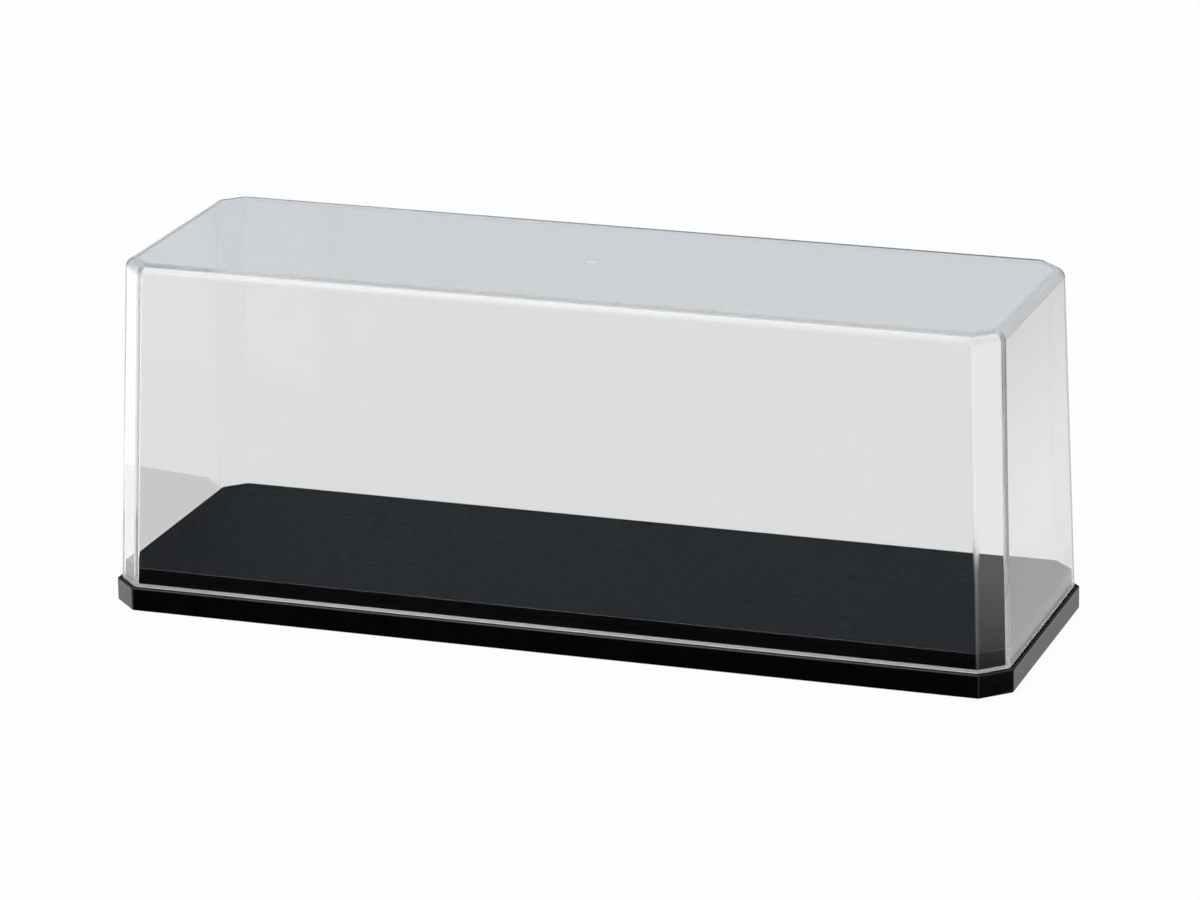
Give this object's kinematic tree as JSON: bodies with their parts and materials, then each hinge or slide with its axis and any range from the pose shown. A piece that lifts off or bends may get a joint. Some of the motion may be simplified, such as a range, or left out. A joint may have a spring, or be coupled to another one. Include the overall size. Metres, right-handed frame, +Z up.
{
  "type": "display case",
  "caption": "Clear lift-off hood with drafted walls, cut corners and a rounded roof edge, standing on the ledge of a low black ribbed base with a raised deck.",
  "frame": {"origin": "centre of the base's footprint, on the surface that the case stands on", "axes": "+X along the length, -Y towards the front, +Z up"},
  "size_m": [0.24, 0.08, 0.092],
  "materials": {
    "black_plastic": "gloss",
    "clear_plastic": "polished"
  },
  "bodies": {
    "base": {"base": "black_plastic"},
    "hood": {"clear_hood": "clear_plastic"}
  },
  "joints": [
    {"name": "hood_lift", "type": "slide", "parent": "base", "child": "hood", "axis": [0, 0, 1], "range_m": [0, 0.1]}
  ]
}
